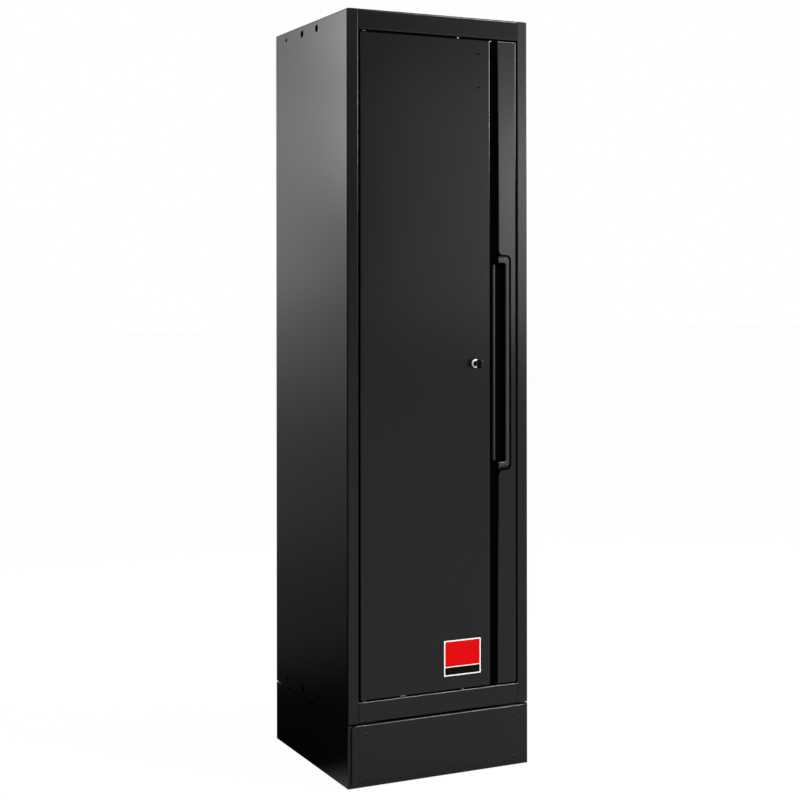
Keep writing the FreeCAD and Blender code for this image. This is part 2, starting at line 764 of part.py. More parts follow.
def handle_grip():
    """Moulded pull: rounded rim in the strip, pocket for the fingers and a bar in the channel."""
    low = grip_centre - grip_height / 2 + grip_clearance
    high = grip_centre + grip_height / 2 - grip_clearance
    face, base = front + grip_recess, channel_floor - pocket_floor
    stop = strip_left + grip_width - grip_clearance
    start = strip_left + sheet
    bar_x = (panel_right + bar_left, panel_right + bar_left + bar_width)

    open_side = strip_left - grip_clearance - EPS
    rim = prism(grip_outline(grip_clearance, open_side), "y", face, base)
    rim = rim.cut(block((open_side - EPS, start), (face - EPS, base + EPS), (door_bottom, door_top)))
    pocket = prism(rectangle((start - grip_width, stop - rim_width),
                             (low + rim_width, high - rim_width), pocket_radius),
                   "y", face - EPS, base + EPS)
    rim = rim.cut(pocket)
    rim = round_edges(rim, rim_round, lambda b: b.YMax < face + NEAR and b.XMax > start + NEAR)

    bar_z = (low + rim_width + bar_end, high - rim_width - bar_end)
    bar = block(bar_x, (front + bar_recess, base), bar_z)
    bar = round_edges(bar, bar_round, lambda b: (
        b.YMax < front + bar_recess + NEAR and b.XMin > bar_x[1] - NEAR))
    bar = round_edges(bar, bar_edge_round, lambda b: (
        b.YMax < front + bar_recess + NEAR and b.XMax < bar_x[0] + NEAR))

    floor = block((bar_x[0], stop), (base, channel_floor), (low, high))
    pilots = [cylinder(screw_radius + hole_clearance, (x, channel_floor - screw_depth, z),
                       (x, channel_floor + EPS, z)) for x, z in screw_places()]
    return cut(fuse(rim, bar, floor), *pilots)


def handle_screw(x, z):
    """Pan-head screw from behind the channel's floor."""
    seat_y = channel_floor + sheet
    return fuse(cylinder(screw_radius, (x, channel_floor - screw_depth + seat, z), (x, seat_y, z)),
                cylinder(screw_head_radius, (x, seat_y, z), (x, seat_y + screw_head_height, z)))


parts["door_panel"] = door_panel()
parts["channel_back"] = channel_back()
parts["door_strip"] = door_strip()
parts["channel_liner"] = channel_liner()
parts["door_stiffener"] = door_stiffener()
parts["handle_grip"] = handle_grip()
parts["handle_screws"] = [handle_screw(x, z) for x, z in screw_places()]


# ---------------------------------------------------------------- badge, glides and buffers
badge_right = panel_right - badge_from_channel
parts["badge_plate"] = prism(
    rectangle((badge_right - badge_width, badge_right),
              (badge_rise, badge_rise + badge_height), badge_radius),
    "y", front - badge_sheet, front)


def edge_glides():
    """Small nylon glides on the door's ends that keep it off the rails."""
    y = front + glide_setback
    top_x, low_x = left + top_glide_from_left, left + bottom_glide_from_left
    pad_x = left + pad_from_left
    under = (door_bottom - glide_height, door_bottom)
    return [cylinder(glide_radius, (top_x, y, door_top), (top_x, y, door_top + glide_height)),
            cylinder(glide_radius, (low_x, y, under[1]), (low_x, y, under[0])),
            prism(rectangle((pad_x - pad_length / 2, pad_x + pad_length / 2),
                            (y - pad_width / 2, y + pad_width / 2), pad_radius),
                  "z", *under)]


def door_buffers():
    """Rubber buffers on the lock stile's stop, behind the door."""
    x = door_right - buffer_from_edge
    levels = (bottom_rail_top + buffer_inset, door_middle, top_rail_bottom - buffer_inset)
    return [cylinder(buffer_radius, (x, door_back + seat, z), (x, front + stile_depth, z))
            for z in levels]


parts["edge_glides"] = edge_glides()
parts["door_buffers"] = door_buffers()


# ---------------------------------------------------------------- hinges
def hinge_bracket(low):
    """Plate on a rail's flange that stiffens the pin's seat."""
    x = (hinge_x - bracket_before_pin, hinge_x - bracket_before_pin + bracket_length)
    plate = block(x, (front + bend + seat, front + rail_depth - bend - seat),
                  (low, low + bracket_thickness))
    return plate.cut(pin_tool(low - EPS, low + bracket_thickness + EPS))


def hinge_pin(level, side):
    """Headed pin; level is the bracket's outer face and side is +1 above the door."""
    reach = bracket_thickness + sheet + (top_gap if side > 0 else bottom_gap) + pin_reach
    head = (hinge_x, hinge_y, level + side * pin_head_height)
    return fuse(cylinder(pin_head_radius, (hinge_x, hinge_y, level), head),
                cylinder(pin_radius, (hinge_x, hinge_y, level),
                         (hinge_x, hinge_y, level - side * reach)))


def hinge_bush(end, side):
    """Flanged nylon bush in the door's folded end."""
    bore = pin_radius + running_fit
    sleeve = cylinder(bore + bush_wall, (hinge_x, hinge_y, end),
                      (hinge_x, hinge_y, end - side * bush_length))
    flange = cylinder(bush_flange_radius, (hinge_x, hinge_y, end),
                      (hinge_x, hinge_y, end + side * bush_flange))
    hole = cylinder(bore, (hinge_x, hinge_y, end - side * (bush_length + EPS)),
                    (hinge_x, hinge_y, end + side * (bush_flange + EPS)))
    return fuse(sleeve, flange).cut(hole)


def hinge_washer():
    """Thrust washer that carries the door on the lower rail."""
    high = door_bottom - bush_flange - seat
    ring = cylinder(bush_flange_radius, (hinge_x, hinge_y, bottom_rail_top),
                    (hinge_x, hinge_y, high))
    return ring.cut(pin_tool(bottom_rail_top - EPS, high + EPS))


top_bracket_level = top_rail_bottom + sheet
bottom_bracket_level = bottom_rail_top - sheet - bracket_thickness
parts["hinge_bracket_top"] = hinge_bracket(top_bracket_level)
parts["hinge_bracket_bottom"] = hinge_bracket(bottom_bracket_level)
parts["hinge_pin_top"] = hinge_pin(top_bracket_level + bracket_thickness, +1)
parts["hinge_pin_bottom"] = hinge_pin(bottom_bracket_level, -1)
parts["hinge_bush_top"] = hinge_bush(door_top, +1)
parts["hinge_bush_bottom"] = hinge_bush(door_bottom, -1)
parts["hinge_washer"] = hinge_washer()


# ---------------------------------------------------------------- lock
def lock_point(setback):
    """Point on the lock's axis, behind the door's face."""
    return lock_x, front + setback, lock_height


def lock_bezel():
    """Rounded chrome ring around the keyhole."""
    ring = cylinder(bezel_radius, lock_point(-bezel_height), lock_point(0))
    ring = round_edges(ring, bezel_round, lambda b: b.YMax < front - bezel_height + NEAR)
    return ring.cut(cylinder(plug_radius + bezel_gap, lock_point(-bezel_height - EPS), lock_point(EPS)))


def lock_nut():
    """Hexagonal nut that clamps the housing behind the skin."""
    nut = prism(hexagon(lock_x, lock_height, lock_nut_flats), "y",
                front + sheet, front + sheet + lock_nut_height)
    return nut.cut(cylinder(housing_radius + hole_clearance, lock_point(0), lock_point(housing_end)))


def keyway():
    """Upright slot in the plug's face."""
    return block((lock_x - keyway_width / 2, lock_x + keyway_width / 2),
                 (front - plug_front - EPS, front + keyway_depth),
                 (lock_height - keyway_height / 2, lock_height + keyway_height / 2))


def lock_cam():
    """Two-armed cam with a pin at each end, turned to its unlocked angle."""
    near = front + cam_start
    half = cam_pin_reach + cam_width / 2
    arm = prism(rectangle((-half, half), (-cam_width / 2, cam_width / 2), cam_width / 2 - seat),
                "y", near, near + cam_sheet)
    pins = [cylinder(cam_pin_radius, (side * cam_pin_reach, near + cam_sheet, 0),
                     (side * cam_pin_reach, near + cam_sheet + cam_pin_length, 0))
            for side in (-1, 1)]
    cam = fuse(arm, *pins)
    cam.rotate(vector(0, 0, 0), vector(0, -1, 0), cam_rest_angle)
    cam.translate(vector(lock_x, 0, lock_height))
    return cam


cam_back = cam_start + cam_sheet
parts["lock_bezel"] = lock_bezel()
parts["lock_housing"] = cylinder(housing_radius, lock_point(0), lock_point(housing_end)).cut(
    cylinder(plug_radius + running_fit, lock_point(-EPS), lock_point(housing_end + EPS)))
parts["lock_nut"] = lock_nut()
parts["lock_plug"] = cylinder(plug_radius, lock_point(-plug_front), lock_point(cam_start)).cut(keyway())
parts["lock_cam"] = lock_cam()
parts["cam_screw"] = cylinder(cam_screw_radius, lock_point(cam_back),
                              lock_point(cam_back + cam_screw_height))


# ---------------------------------------------------------------- key
def key_span(half_height):
    return lock_height - half_height, lock_height + half_height


def key_blade():
    """Flat steel blade, from inside the bow to inside the plug."""
    half = key_blade_width / 2
    return block((lock_x - half, lock_x + half), (front - key_neck - bow_socket, front + key_blade_end),
                 key_span(key_blade_height / 2))


def key_bow():
    """Moulded bow with a ring hole, upright with the keyway."""
    tip = front - key_neck - key_bow_length
    bow = prism(rectangle((tip, front - key_neck), key_span(key_bow_height / 2), key_bow_radius),
                "x", lock_x - key_bow_width / 2, lock_x + key_bow_width / 2)
    bow = round_edges(bow, key_bow_round, lambda b: b.XLength < NEAR)
    centre = tip + key_hole_from_tip
    ring = cylinder(key_hole_radius, (lock_x - key_bow_width, centre, lock_height),
                    (lock_x + key_bow_width, centre, lock_height))
    half = key_blade_width / 2 + hole_clearance
    socket = block((lock_x - half, lock_x + half),
                   (front - key_neck - bow_socket - hole_clearance, front - key_neck + EPS),
                   key_span(key_blade_height / 2 + hole_clearance))
    return cut(bow, ring, socket)


parts["key_blade"] = key_blade()
parts["key_bow"] = key_bow()


# ---------------------------------------------------------------- shooting rods and guides
def shooting_rod(side):
    """Flat rod from the cam's pin to the door's end; side is +1 up and -1 down."""
    slot_z = lock_height - side * cam_swing
    end = door_top - rod_tip_rest if side > 0 else door_bottom + rod_tip_rest
    x, half = rod_x[side], rod_width / 2
    low, high = sorted((slot_z - side * rod_foot, end))
    tip = [rod_tip_round if (z == end) else 0 for z in (low, high)]
    outline = [(x - half, low, tip[0]), (x + half, low, tip[0]),
               (x + half, high, tip[1]), (x - half, high, tip[1])]
    bar = prism(outline, "y", rod_front, rod_back)
    play = cam_pin_radius + rod_slot_play
    slot = block((x - rod_slot_half, x + rod_slot_half), (rod_front - EPS, rod_back + EPS),
                 (slot_z - play, slot_z + play))
    return bar.cut(slot)


def rod_guide(side):
    """Moulded guide behind the skin, hooked through two slots, with a passage for the rod."""
    x, skin = rod_x[side], front + sheet
    low, high = guide_levels(side)
    centre = (low + high) / 2
    span = (x - guide_width / 2, x + guide_width / 2)
    base = block(span, (skin, skin + guide_base), (low - guide_foot, high + guide_foot))
    body = block(span, (skin, rod_back + rod_play + guide_wall),
                 (centre - guide_block / 2, centre + guide_block / 2))
    tabs = [block(tx, (front + guide_tab_recess, skin + EPS), tz)
            for tx, tz in tab_tools(-seat / 2) if low - guide_foot < tz[0] < high + guide_foot]
    passage = rod_tool(side, rod_play, centre - guide_block, centre + guide_block)
    return cut(fuse(base, body, *tabs), passage)


parts["lock_rod_upper"] = shooting_rod(+1)
parts["lock_rod_lower"] = shooting_rod(-1)
parts["rod_guides"] = [rod_guide(+1), rod_guide(-1)]

# ---------------------------------------------------------------- export
os.makedirs("parts", exist_ok=True)
for name, shape in parts.items():
    solids = [s for piece in (shape if isinstance(shape, list) else [shape]) for s in piece.Solids]
    whole = solids[0] if len(solids) == 1 else Part.makeCompound(solids)
    whole.exportStep(f"parts/{name}.step")
    sizes = whole.BoundBox
    print(f"{name:22s} solids {len(solids):2d}  valid {whole.isValid()}  "
          f"{sizes.XLength:8.2f} x {sizes.YLength:8.2f} x {sizes.ZLength:8.2f}")
print("nodes", len(parts), " shelf tops", [round(z, 1) for z in shelf_tops])
print("rod travel per radian", round(2 * cam_swing / radians(2 * abs(cam_rest_angle)), 4))
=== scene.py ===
# %% [markdown]
# # A tall side locker for a workshop
#
# The locker comes packed from CAD as a fixed frame of folded sheets, pins, rods and a lock.
# The frame is loaded first, because every finish below goes on one of its nodes. All shapes of
# the locker are the frame's own, so this lesson is about finishes and light.

import bpy
import numpy as np
from mathutils import Matrix, Vector


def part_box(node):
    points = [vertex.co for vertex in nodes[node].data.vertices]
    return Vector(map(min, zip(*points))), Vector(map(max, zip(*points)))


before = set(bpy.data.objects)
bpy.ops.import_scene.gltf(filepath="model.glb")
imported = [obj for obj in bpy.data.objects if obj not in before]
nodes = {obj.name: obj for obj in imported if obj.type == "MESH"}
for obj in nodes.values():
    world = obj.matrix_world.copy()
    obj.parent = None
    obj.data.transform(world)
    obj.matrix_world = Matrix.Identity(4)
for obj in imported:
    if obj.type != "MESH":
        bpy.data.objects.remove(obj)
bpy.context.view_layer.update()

scene = bpy.context.scene
scene.view_settings.view_transform = "Standard"

# %% [markdown]
# ## Camera
#
# A locker is tall and slim, so it is seen from its left front corner at chest height with a long
# lens. The camera looks level and the picture plane is shifted down. Tilting the camera instead
# would make the uprights lean together. It rolls by six hundredths of a degree.

# %% Camera
eye = Vector((-1.86078, -3.87983, 1.28259))
yaw = np.radians(25.51439)
roll = np.radians(-0.05893)
ahead = Vector((np.sin(yaw), np.cos(yaw), 0.0))
level_right = Vector((np.cos(yaw), -np.sin(yaw), 0.0))
upright = Vector((0.0, 0.0, 1.0))
camera_right = level_right * np.cos(roll) + upright * np.sin(roll)
camera_up = upright * np.cos(roll) - level_right * np.sin(roll)
turn = Matrix((camera_right, camera_up, -ahead)).transposed()

camera = bpy.data.objects.new("camera", bpy.data.cameras.new("camera"))
scene.collection.objects.link(camera)
camera.matrix_world = Matrix.Translation(eye) @ turn.to_4x4()
camera.data.sensor_width = 36.0
camera.data.lens = 69.73294
camera.data.shift_x = 0.0058
camera.data.shift_y = -0.1402
scene.camera = camera
print("camera", [round(v, 3) for v in camera.location])

# %% [markdown]
# ## Wires that do sums
#
# A material is a graph of nodes. Written out by hand that is long, so a socket is wrapped in a
# small class on which +, -, *, ** and the comparisons add Math nodes. Every other node comes from
# one method, which sets the node's options first and its sockets after.

# %% Wires
class Wire:
    """One output socket, with Python's operators adding Math nodes behind it."""

    def __init__(self, paint, socket):
        self.paint = paint
        self.socket = socket

    def maths(self, operation, a, b=0.0):
        return self.paint.add("ShaderNodeMath", {"operation": operation}, {0: a, 1: b})

    def __add__(self, other):
        return self.maths("ADD", self, other)

    def __sub__(self, other):
        return self.maths("SUBTRACT", self, other)

    def __rsub__(self, other):
        return self.maths("SUBTRACT", other, self)

    def __mul__(self, other):
        return self.maths("MULTIPLY", self, other)

    def __pow__(self, power):
        return self.maths("POWER", self, power)

    def __lt__(self, other):
        return self.maths("LESS_THAN", self, other)

    def __gt__(self, other):
        return self.maths("GREATER_THAN", self, other)

    def __abs__(self):
        return self.maths("ABSOLUTE", self)

    def at_least(self, other):
        return self.maths("MAXIMUM", self, other)

    def at_most(self, other):
        return self.maths("MINIMUM", self, other)

    __radd__ = __add__
    __rmul__ = __mul__


print("a wire answers to", [name for name, member in vars(Wire).items() if callable(member)])


# %% Paint
class Paint:
    """A graph that starts empty, and the one method that adds a node to it."""

    # Blender's own list that holds the block, and the node that ends its graph.
    kind = "materials"
    output = "ShaderNodeOutputMaterial"

    def __init__(self, name):
        self.block = getattr(bpy.data, self.kind).new(name)
        self.block.use_nodes = True
        self.tree = self.block.node_tree
        self.tree.nodes.clear()

    def add(self, kind, options=None, inputs=None, output=0):
        node = self.tree.nodes.new(kind)
        for option, value in (options or {}).items():
            setattr(node, option, value)
        for key, value in (inputs or {}).items():
            if isinstance(value, Wire):
                self.tree.links.new(value.socket, node.inputs[key])
            else:
                node.inputs[key].default_value = value
        return Wire(self, node.outputs[output])

    def place(self):
        return self.add("ShaderNodeTexCoord", output="Object")

    def axis(self, letter):
        """One coordinate of the point, in metres, or of the direction in the room's own graph."""
        return self.add("ShaderNodeSeparateXYZ", {}, {0: self.place()}, letter)

    def noise(self, scale, detail=2.0):
        return self.add("ShaderNodeTexNoise", {}, {
            "Vector": self.place(), "Scale": scale, "Detail": detail})

    def mix(self, share, first, second):
        """Colour mix: share 0 gives the first and 1 the second."""
        return self.add("ShaderNodeMix", {"data_type": "RGBA"}, {0: share, 6: first, 7: second}, 2)

    def bump(self, height, strength, distance):
        return self.add("ShaderNodeBump", {}, {
            "Height": height, "Strength": strength, "Distance": distance})

    def stretch(self, value, low, high):
        """0 at low, 1 at high, eased in between."""
        return self.add("ShaderNodeMapRange", {"interpolation_type": "SMOOTHSTEP"},
                        {"Value": value, "From Min": low, "From Max": high})

    def shader(self, **sockets):
        names = {key.replace("_", " "): value for key, value in sockets.items()}
        return self.add("ShaderNodeBsdfPrincipled", {}, names)

    def blend(self, share, first, second):
        """Shader mix: share 0 gives the first and 1 the second."""
        return self.add("ShaderNodeMixShader", {}, {0: share, 1: first, 2: second})

    def shade_where(self, mask, shader):
        """The shader, with painted shade, a matt black, in its place where the mask is 1."""
        black = self.shader(Base_Color=tone(0.0006), Roughness=0.95, Specular_IOR_Level=0.02)
        return self.finish(self.blend(mask, shader, black))

    def finish(self, shader):
        node = self.tree.nodes.new(self.output)
        self.tree.links.new(shader.socket, node.inputs["Surface"])
        return self.block

    def surface(self, **sockets):
        return self.finish(self.shader(**sockets))


def tone(red, green=None, blue=None):
    return (red, red if green is None else green, red if blue is None else blue, 1.0)


print("a paint offers", [name for name, member in vars(Paint).items() if callable(member)])

# %% [markdown]
# ## Joint round the pull
#
# The pull sits in a cut-out of the door's strip, with a narrow joint all round. The shade in the joint
# reads as a black line that is wider than the gap itself, so that line is painted shade in the finish
# of both pieces. It needs one measure: how far a point lies outside the cut-out's outline. That outline
# is a tall rectangle with rounded corners, which opens into the channel with two flared corners. A
# formula for the distance stays sharp at any size, where a painted picture would not.

# %% Joint round the pull
strip_box, grip_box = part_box("door_strip"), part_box("handle_grip")
grip_gap = 0.0013
edge_bow = 0.004
corner = 0.013
flare = 0.014
shade_band_inside = 0.0048
shade_band_outside = 0.0010
cut_right = grip_box[1].x + grip_gap
cut_middle = (grip_box[0].z + grip_box[1].z) / 2
cut_half = (grip_box[1].z - grip_box[0].z) / 2 + grip_gap
free_edge = strip_box[0].x + edge_bow


def outside_cut(p):
    """Signed distance from the cut-out's outline, negative inside: that of a rounded rectangle,
    joined to the distance from the strip's free edge by an arc as large as the flare."""
    x, z = p.axis("X"), p.axis("Z")
    across = (x - (cut_right - corner)).at_least(0.0)
    along = (abs(z - cut_middle) - (cut_half - corner)).at_least(0.0)
    rounded = (across ** 2 + along ** 2) ** 0.5 - corner
    straight = (abs(z - cut_middle) - cut_half).at_least(x - cut_right)
    box = rounded.at_least(straight)
    open_side = x - free_edge
    near_box = (flare - box).at_least(0.0)
    near_side = (flare - open_side).at_least(0.0)
    return box.at_most(open_side).at_least(flare) - (near_box ** 2 + near_side ** 2) ** 0.5


def joint_shade(p):
    """1 in the band of painted shade along the cut-out, which lies mostly on its inner side."""
    distance = outside_cut(p)
    beside_pull = abs(p.axis("Z") - cut_middle) < cut_half + flare
    return (distance > -shade_band_inside) * (distance < shade_band_outside) * beside_pull


print("cut-out from", round(cut_middle - cut_half, 4), "to", round(cut_middle + cut_half, 4))

# %% [markdown]
# ## Powder coat
#
# The sheet metal is powder coated. The coat melts into a fine orange peel: a dense grain under a
# millimetre wide and a slower wave of a few millimetres. Both go into the bump, and the grain
# also moves the roughness a little, so that a highlight breaks up as it does on the real coat.
#
# Folded sheets are never quite in one plane, and a gloss coat shows it: two neighbours mirror
# different parts of the room. Here a slope in the bump leans a sheet's normal, and the mesh stays
# as the CAD has it.

# %% Powder coat
coat_dark, coat_light = tone(0.0014), tone(0.0020)
peel_grain, peel_wave, colour_drift = 1100.0, 260.0, 6.0
bump_strength = 0.10
bump_distance = 0.0004


def powder_coat(name, gloss, lean=0.0, painted_shade=None, sheen=0.5):
    """Colour drifts between two tones; bump = grain + 0.5 * wave + slope * x, with the slope
    that leans the front face's normal by a small angle (in radians) towards +X."""
    p = Paint(name)
    grain = p.noise(peel_grain, 3.0)
    height = grain + p.noise(peel_wave) * 0.5
    if lean:
        height = height + p.axis("X") * (-lean / (bump_strength * bump_distance))
    coat = p.shader(
        Base_Color=p.mix(p.noise(colour_drift), coat_dark, coat_light),
        Roughness=gloss + grain * 0.08, Specular_IOR_Level=sheen,
        Normal=p.bump(height, bump_strength, bump_distance))
    # A mask, where given, lays painted shade (a matt black) over the coat.
    return p.shade_where(painted_shade(p), coat) if painted_shade else p.finish(coat)


print("grain and wave, mm:", round(1000 / peel_grain, 2), round(1000 / peel_wave, 2))

# %% [markdown]
# ## Painted shade on edges
#
# Some edges catch little light and look darker than the faces: the fold over the top of the door,
# the fold between side and front, and the rims of the joining holes. Masks paint that shade on as a
# matt black, which is simpler than lamps that miss exactly these edges. Then each group of sheets
# gets a coat of its own, because gloss, lean and painted shade differ from sheet to sheet.

# %% Painted shade on edges
panel_box, side_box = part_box("door_panel"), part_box("left_side_panel")
door_fold_shade_width = 0.0030
side_fold_depth, side_fold_width, side_fold_shade_share = 0.0015, 0.0060, 0.85
rim_shade_width = 0.0020
joining_holes = ((-0.048, 0.008), (0.055, 0.008), (0.172, 0.004))
hole_heights = (0.1878, 1.9768)


def door_fold_shade(p):
    """1 on the rounded upper fold of the door, where painted shade goes."""
    return p.axis("Z") > panel_box[1].z - door_fold_shade_width


def side_shade(p):
    """Painted shade: 1 close round each joining hole, and nearly 1 along the fold between side and
    front.
    """
    x, y, z = p.axis("X"), p.axis("Y"), p.axis("Z")
    fold = (x < side_box[0].x + side_fold_depth) * (y < side_box[0].y + side_fold_width)
    rims = 0.0
    for centre, radius in joining_holes:
        for height in hole_heights:
            rims = rims + (((y - centre) ** 2 + (z - height) ** 2) ** 0.5 < radius + rim_shade_width)
    return rims.at_least(fold * side_fold_shade_share).at_most(1.0)


print("dark rims", len(joining_holes) * len(hole_heights), "dark fold, mm:", 1000 * door_fold_shade_width)

# %% Coats of the sheets
body_coat = powder_coat("body_powder_coat", 0.21)
top_coat = powder_coat("top_powder_coat", 0.55, sheen=0.12)
rail_coat = powder_coat("rail_powder_coat", 0.17)
# The door's upper fold, the strip's joint round the pull and the left side's fold and hole rims get
# painted shade.
door_coat = powder_coat("door_powder_coat", 0.17, painted_shade=door_fold_shade)
plinth_coat = powder_coat("plinth_powder_coat", 0.20)
strip_coat = powder_coat("strip_powder_coat", 0.17, lean=0.052, painted_shade=joint_shade)
right_coat = powder_coat("right_powder_coat", 0.21, lean=0.066)
left_coat = powder_coat("left_powder_coat", 0.21, lean=-0.045, painted_shade=side_shade)
print("powder coats", [m.name for m in bpy.data.materials if m.name.endswith("powder_coat")])

# %% [markdown]
# ## Metals and plastics
#
# Rods, brackets and screws are zinc plated, the lock has a chromed ring and a brass body, and the
# dark parts are blackened steel. One noise moves both tone and roughness of a metal, because a
# plated surface clouds in patches. The plastics are moulded: the mould's spark-eroded surface
# leaves a fine grain, which goes into the bump.

# %% Metals and plastics
def plain_metal(name, dark, light, gloss, grain):
    """Metal whose tone and roughness follow one noise."""
    p = Paint(name)
    cloud = p.noise(grain, 4.0)
    return p.surface(
        Base_Color=p.mix(cloud, dark, light), Metallic=1.0,
        Roughness=gloss + cloud * 0.12, Normal=p.bump(cloud, 0.05, 0.0002))


def moulded_shader(p, dark, light, gloss, grain, sheen):
    """Moulded plastic: pits in the bump, and a little in the roughness."""
    pits = p.noise(grain, 3.0)
    return p.shader(
        Base_Color=p.mix(p.noise(14.0), dark, light), Specular_IOR_Level=sheen,
        Roughness=gloss + pits * 0.1, Normal=p.bump(pits, 0.18, 0.0003))


def moulded(name, dark, light, gloss, grain, sheen=0.5):
    p = Paint(name)
    return p.finish(moulded_shader(p, dark, light, gloss, grain, sheen))


zinc = plain_metal("zinc_plate", tone(0.50, 0.51, 0.53), tone(0.66, 0.67, 0.68), 0.26, 70.0)
chrome = plain_metal("lock_chrome", tone(0.90), tone(0.96), 0.42, 120.0)
dark_steel = plain_metal("plug_steel", tone(0.020), tone(0.034), 0.40, 160.0)
brass = plain_metal("lock_brass", tone(0.60, 0.44, 0.18), tone(0.72, 0.54, 0.24), 0.28, 160.0)
liner_plastic = moulded("liner_plastic", tone(0.0008), tone(0.0012), 0.80, 900.0, 0.03)
key_plastic = moulded("key_plastic", tone(0.0015), tone(0.0025), 0.22, 1500.0)
bush_nylon = moulded("bush_nylon", tone(0.030), tone(0.040), 0.50, 900.0)
pale_nylon = moulded("pale_nylon", tone(0.60, 0.60, 0.58), tone(0.68, 0.68, 0.66), 0.45, 900.0)
buffer_rubber = moulded("buffer_rubber", tone(0.018), tone(0.026), 0.72, 700.0)
print("materials so far", len(bpy.data.materials))

# %% [markdown]
# ## The pull
#
# The pull is one moulding with a rim, a deep pocket for the fingers and a bar inside it. The
# pocket lies in deep shade, so it gets painted shade, a matt black, while the rim and the bar's
# ridge catch the light. The mask says how far behind the rim's face a point lies. Two materials
# would need faces that end just where the painted shade begins, and the mesh has none there, so
# one material holds both.

# %% The pull
floor_depth = 0.0135
wall_depth = 0.0045
ridge_right = 0.1705


def grip_finish():
    """Satin plastic, with painted shade, a matt black, on the pocket's floor and walls and along the
    joint round it.
    """
    p = Paint("grip_plastic")
    satin = moulded_shader(p, tone(0.016), tone(0.021), 0.34, 1300.0, 0.5)
    x, y = p.axis("X"), p.axis("Y")
    # Painted shade on the pocket's floor and on its walls behind the bar's ridge.
    pocket_floor_shade = y > grip_box[0].y + floor_depth
    pocket_wall_shade = (y > grip_box[0].y + wall_depth) * (x > ridge_right)
    return p.shade_where(pocket_floor_shade.at_least(pocket_wall_shade).at_least(joint_shade(p)), satin)


grip_plastic = grip_finish()
print("pull", grip_plastic.name)

# %% [markdown]
# ## Badge plate
#
# The plate is printed: a pale border, a red field and a dark band along its foot. Each is a mask
# worked out from how far a point lies from the plate's edges, so the print stays sharp.

# %% Badge print
low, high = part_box("badge_plate")
border = 0.0031
divider = 0.0022
band_share = 0.255
print_white, print_red, print_black = tone(0.86), tone(0.62, 0.002, 0.003), tone(0.002)


def badge_print():
    """Masks: white within border of an edge and along the divider, black below the divider."""
    p = Paint("badge_print")
    x, z = p.axis("X"), p.axis("Z")
    half_width = (high.x - low.x) / 2 - border
    half_height = (high.z - low.z) / 2 - border
    inside_x = abs(x - (low.x + high.x) / 2) < half_width
    inside_z = abs(z - (low.z + high.z) / 2) < half_height
    split = low.z + (high.z - low.z) * band_share
    printed = inside_x * inside_z * (abs(z - split) > divider / 2)
    field = p.mix(z < split, print_red, print_black)
    return p.surface(Base_Color=p.mix(printed, print_white, field), Specular_IOR_Level=0.08,
                     Roughness=0.30 + p.noise(400.0) * 0.05)


badge = badge_print()
print("badge", round(high.x - low.x, 4), "by", round(high.z - low.z, 4))

# %% [markdown]
# ## Which piece gets which finish
#
# Each piece keeps its mesh and gets one material in its slot. The list is kept by finish, because
# that is how a workshop sorts its pieces for the paint line and the plating bath.

# %% Finish of each node
finish_of = {
    left_coat: ["left_side_panel"],
    right_coat: ["right_side_panel"],
    top_coat: ["top_panel"],
    body_coat: ["back_panel", "bottom_panel", "door_stop", "shelf_1", "shelf_2", "shelf_3", "shelf_4",
                "upright_front_left", "upright_front_right", "upright_back_left", "upright_back_right"],
    rail_coat: ["top_rail", "bottom_rail"],
    door_coat: ["door_panel", "door_stiffener"],
    strip_coat: ["door_strip"],
    plinth_coat: ["plinth_frame", "plinth_front_plate", "plinth_corner_plates"],
    zinc: ["plinth_bolts", "plinth_nuts", "shelf_clips", "hinge_bracket_top", "hinge_bracket_bottom",
           "handle_screws", "lock_nut", "lock_cam", "cam_screw", "lock_rod_upper", "lock_rod_lower"],
    dark_steel: ["lock_plug", "key_blade", "plinth_rivets", "hinge_pin_top", "hinge_pin_bottom"],
    chrome: ["lock_bezel"],
    brass: ["lock_housing"],
    grip_plastic: ["handle_grip"],
    liner_plastic: ["channel_liner", "channel_back", "rod_guides"],
    key_plastic: ["key_bow"],
    bush_nylon: ["hinge_bush_top", "hinge_bush_bottom", "hinge_washer"],
    pale_nylon: ["edge_glides"],
    buffer_rubber: ["door_buffers"],
    badge: ["badge_plate"],
}
for finish, names in finish_of.items():
    for name in names:
        nodes[name].data.materials.clear()
        nodes[name].data.materials.append(finish)
left_out = sorted(set(nodes) - {name for names in finish_of.values() for name in names})
print("nodes without a finish:", left_out)

# %% [markdown]
# ## Floor
#
# Gloss black shows the room more than it shows its own colour, so floor and room are built for
# their reflections. The camera sees the floor white, with a twentieth of a plain, shaded floor
# mixed in, which leaves only a trace of the locker's shadow. Mirrored rays find the floor about
# half bright in front of the locker, dark close behind it and brighter again further back. A
# plain white floor would be simpler, but it would light up the dark feet of the panels.

# %% Floor
camera_share = 0.95
front_shine, right_shine = 0.49, 0.05


def ray_kinds(paint):
    """1 for camera rays; 1 for rays that left a glossy surface or passed through glass."""
    kinds = [paint.add("ShaderNodeLightPath", output=f"Is {kind} Ray")
             for kind in ("Camera", "Glossy", "Transmission")]
    return kinds[0], kinds[1] + kinds[2]


def floor_finish():
    """White light by camera share + shine of mirrored rays, over a plain diffuse floor."""
    p = Paint("studio_floor")
    camera_ray, mirrored = ray_kinds(p)
    x, y = p.axis("X"), p.axis("Y")
    to_the_right = p.stretch(x, -0.3, 0.7) * right_shine + front_shine
    in_front = (1.0 - p.stretch(y, -0.4, 0.0)) * to_the_right
    behind = (p.stretch(y, 0.5, 1.6) * 0.08 + p.stretch(y, 1.6, 5.0) * 0.10
              + p.stretch(y, 5.0, 25.0) * 0.30)
    shaded = p.mix(mirrored, p.mix(camera_ray, tone(0.10), tone(0.90)), tone(0.0))
    plain = p.add("ShaderNodeBsdfDiffuse", {}, {"Color": shaded})
    white = p.add("ShaderNodeEmission", {}, {"Color": tone(1.0), "Strength": 1.0})
    return p.finish(p.blend(camera_ray * camera_share + mirrored * (in_front + behind), plain, white))


